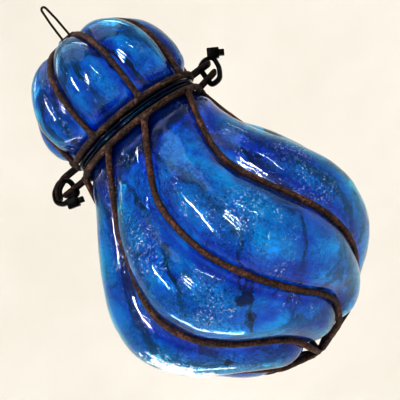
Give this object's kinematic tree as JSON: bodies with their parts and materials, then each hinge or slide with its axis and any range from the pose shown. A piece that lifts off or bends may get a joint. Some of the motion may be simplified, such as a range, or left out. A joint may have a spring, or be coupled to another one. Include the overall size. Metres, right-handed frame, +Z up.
{
  "type": "caged glass lantern",
  "caption": "Hanging lantern of lobed blue glass blown inside a rusted iron wire cage: a domed lid and a swirled pear-shaped body, held mouth to mouth by cable ties through wire ears.",
  "frame": {"origin": "inside top of the hairpin hanger, where it rests on a hook", "axes": "+Z up along the lantern's middle line; +X towards the clasp-side ears, -X towards the hinge-side ears; -Y is the front seen in the picture"},
  "size_m": [0.1613, 0.1623, 0.2691],
  "materials": {
    "body_glass": "hand-blown cobalt glass, crackled and worn",
    "lid_glass": "hand-blown cobalt glass",
    "ring_iron": "dark rusted iron wire",
    "lid_rib_iron": "brown rusted iron wire",
    "body_rib_iron": "rusty iron wire, pitted",
    "ear_iron": "dark brown iron wire",
    "weld": "lumpy oxidised weld",
    "hanger_wire": "dark olive oxidised wire",
    "nylon": "black nylon cable tie"
  },
  "bodies": {
    "hanger": {"hanger": "hanger_wire"},
    "lid": {"lid_glass": "lid_glass", "lid_ring": "ring_iron", "lid_rib_1": "lid_rib_iron", "lid_rib_2": "lid_rib_iron", "lid_rib_3": "lid_rib_iron", "lid_rib_4": "lid_rib_iron", "lid_rib_5": "lid_rib_iron", "lid_rib_6": "lid_rib_iron", "lid_rib_7": "lid_rib_iron", "lid_rib_8": "lid_rib_iron", "crown_weld": "weld", "crown_staple": "lid_rib_iron", "lid_ear_hinge": "ear_iron", "lid_ear_clasp": "ear_iron", "lid_weld_beads": "weld", "clasp_tie": "nylon"},
    "body": {"body_glass": "body_glass", "body_ring": "ring_iron", "body_rib_1": "body_rib_iron", "body_rib_2": "body_rib_iron", "body_rib_3": "body_rib_iron", "body_rib_4": "body_rib_iron", "body_rib_5": "body_rib_iron", "body_rib_6": "body_rib_iron", "body_rib_7": "body_rib_iron", "body_rib_8": "body_rib_iron", "foot_weld": "weld", "body_ear_hinge": "ear_iron", "body_ear_clasp": "ear_iron", "body_weld_beads": "weld", "hinge_tie": "nylon"}
  },
  "joints": [
    {"name": "hanger_swing", "type": "hinge", "parent": "hanger", "child": "lid", "pos_m": [0, 0, -0.024], "axis": [1, 0, 0], "range_deg": [-75, 75]},
    {"name": "lid_hinge", "type": "hinge", "parent": "lid", "child": "body", "pos_m": [-0.0645, 0, -0.099], "axis": [0, 1, 0], "range_deg": [0, 110], "deforming": ["clasp_tie"]}
  ]
}
